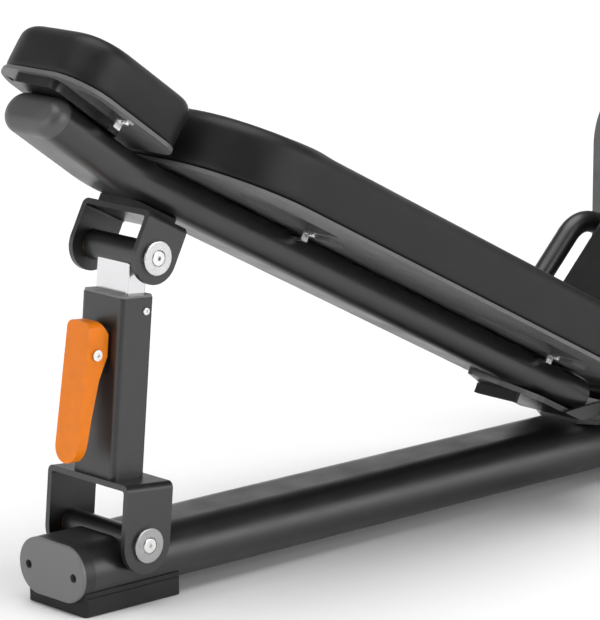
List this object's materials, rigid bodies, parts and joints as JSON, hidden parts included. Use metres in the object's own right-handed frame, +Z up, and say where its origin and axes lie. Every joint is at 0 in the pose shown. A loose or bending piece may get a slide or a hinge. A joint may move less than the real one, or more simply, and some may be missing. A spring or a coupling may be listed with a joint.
{
  "type": "adjustable weight bench",
  "caption": "Low weight bench with a hinged, padded backrest and head pad held up by a telescopic strut with an orange squeeze lever, a tilted seat pad, side handles and a rear panel.",
  "frame": {"origin": "on the floor, at the centre of the front foot's underside plane, straight below the strut's lower pivot", "axes": "+X from the head end to the leg end, +Z up, +Y to the far side; the bench is symmetric about the XZ plane"},
  "size_m": [1.1979, 0.488, 0.5791],
  "materials": {
    "frame_paint": "satin black powder coat",
    "bright_steel": "turned, bright",
    "chrome_bar": "polished chrome",
    "pad_cover": "matt PVC-coated fabric",
    "board": "moulded, fine grain",
    "rubber": "matt",
    "cap_plastic": "fine grain",
    "lever_orange": "gloss orange",
    "guide_plastic": "low-friction plastic",
    "bronze": "sintered bush",
    "panel_paint": "satin grey powder coat"
  },
  "bodies": {
    "base": {"base_tube": "frame_paint", "base_end_cap": "cap_plastic", "base_cap_screws": "frame_paint", "front_foot": "rubber", "lower_pivot_barrel": "frame_paint", "lower_bushings": "bronze", "rear_cross_tube": "frame_paint", "rear_tube_caps": "cap_plastic", "rear_feet": "rubber", "hinge_base_bracket": "frame_paint", "hinge_shaft": "bright_steel", "hinge_washers": "bright_steel", "hinge_screws": "bright_steel", "rear_upright": "frame_paint", "rear_panel": "panel_paint", "panel_screws": "bright_steel", "upright_cap": "cap_plastic", "seat_support": "frame_paint", "seat_board": "board", "seat_pad": "pad_cover", "seat_screws": "bright_steel", "handle_near": "frame_paint", "handle_far": "frame_paint"},
    "strut_outer": {"lower_clevis": "frame_paint", "lower_shaft": "bright_steel", "lower_washers": "bright_steel", "lower_screws": "bright_steel", "strut_tube": "frame_paint", "strut_guide": "guide_plastic", "guide_screws": "bright_steel", "lever_bracket": "frame_paint", "lever_pin": "bright_steel", "plunger_housing": "bright_steel", "plunger_spring": "bright_steel"},
    "strut_inner": {"inner_bar": "chrome_bar", "bar_shoe": "guide_plastic", "upper_barrel": "frame_paint", "upper_bushings": "bronze"},
    "lever": {"squeeze_lever": "lever_orange"},
    "plunger": {"plunger": "bright_steel", "brake_shoe": "rubber"},
    "backrest": {"main_tube": "frame_paint", "main_tube_cap": "cap_plastic", "upper_clevis": "frame_paint", "upper_saddle": "rubber", "upper_shaft": "bright_steel", "upper_washers": "bright_steel", "upper_screws": "bright_steel", "hinge_lugs": "frame_paint", "hinge_floor_plate": "frame_paint", "hinge_barrel": "frame_paint", "hinge_bushings": "bronze", "bump_stop": "rubber", "back_board": "board", "back_pad": "pad_cover", "head_plate": "frame_paint", "head_board": "board", "head_pad": "pad_cover", "pad_clips": "bright_steel", "clip_screws": "bright_steel"}
  },
  "joints": [
    {"name": "backrest_pitch", "type": "hinge", "parent": "base", "child": "backrest", "pos_m": [0.716, 0, 0.101], "axis": [0, 1, 0], "range_deg": [0, 9.8]},
    {"name": "strut_tilt", "type": "hinge", "parent": "base", "child": "strut_outer", "pos_m": [0, 0, 0.0657], "axis": [0, 1, 0], "range_deg": [0, 6.2]},
    {"name": "strut_slide", "type": "slide", "parent": "strut_outer", "child": "strut_inner", "axis": [0.0836, 0, 0.9965], "range_m": [0, 0.121]},
    {"name": "lever_squeeze", "type": "hinge", "parent": "strut_outer", "child": "lever", "pos_m": [-0.02519, 0, 0.25467], "axis": [0, -1, 0], "range_deg": [0, 9.5], "stiffness_Nm_per_rad": 2, "springref_deg": -8.59},
    {"name": "plunger_pull", "type": "slide", "parent": "strut_outer", "child": "plunger", "axis": [-0.9965, 0, 0.0836], "range_m": [0, 0.0028], "deforming": ["plunger_spring"]}
  ],
  "couplings": [
    {"joint": "strut_tilt", "follows": "backrest_pitch", "ratio": 0.6258},
    {"joint": "strut_slide", "follows": "backrest_pitch", "m_per_rad": 0.7057},
    {"joint": "plunger_pull", "follows": "lever_squeeze", "m_per_rad": 0.0168}
  ]
}
